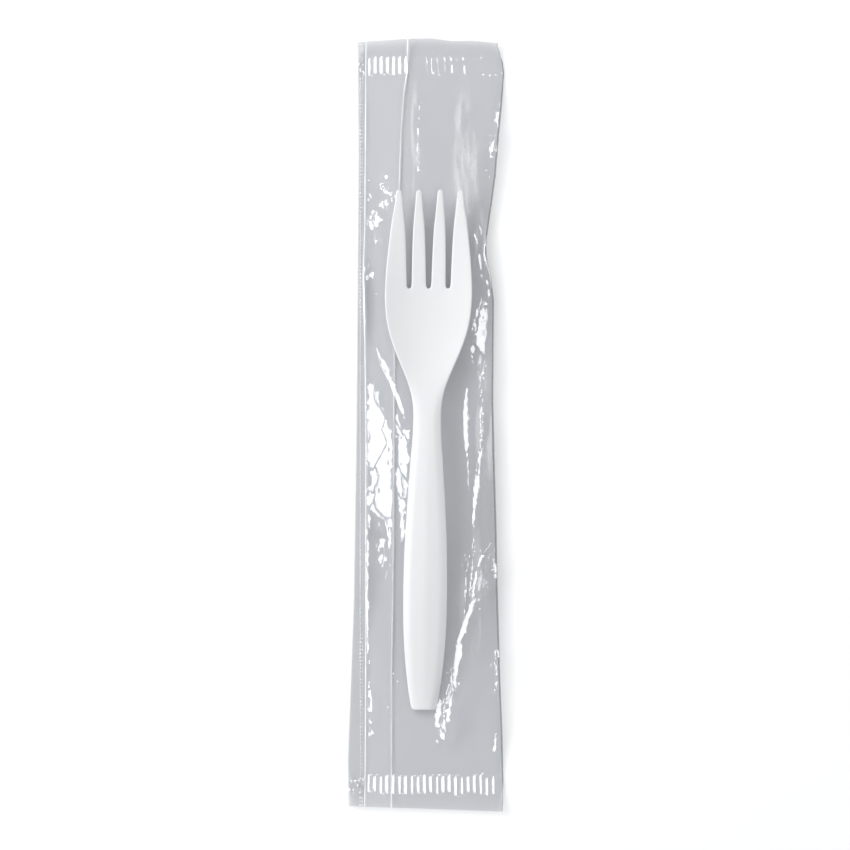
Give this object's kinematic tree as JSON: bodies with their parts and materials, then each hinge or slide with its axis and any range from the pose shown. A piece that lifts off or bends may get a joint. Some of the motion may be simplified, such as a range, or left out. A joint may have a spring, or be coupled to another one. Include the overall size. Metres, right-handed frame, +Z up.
{
  "type": "wrapped disposable fork",
  "caption": "Disposable white plastic fork with a dished head and crowned handle, sealed in a clear film sleeve with ribbed end seals and a folded fin seal along the back.",
  "frame": {"origin": "middle of the pack's footprint, on the surface it lies on", "axes": "+Y along the pack towards the tines, +X across it, away from the folded fin's free edge, +Z up out of the fork's bowl"},
  "size_m": [0.0466, 0.2304, 0.0093],
  "materials": {
    "fork": "smooth injection-moulded white styrene, soft gloss",
    "wrapper": "clear glossy packing film, creased"
  },
  "bodies": {
    "root": {"fork": "fork", "wrapper": "wrapper"}
  },
  "joints": []
}
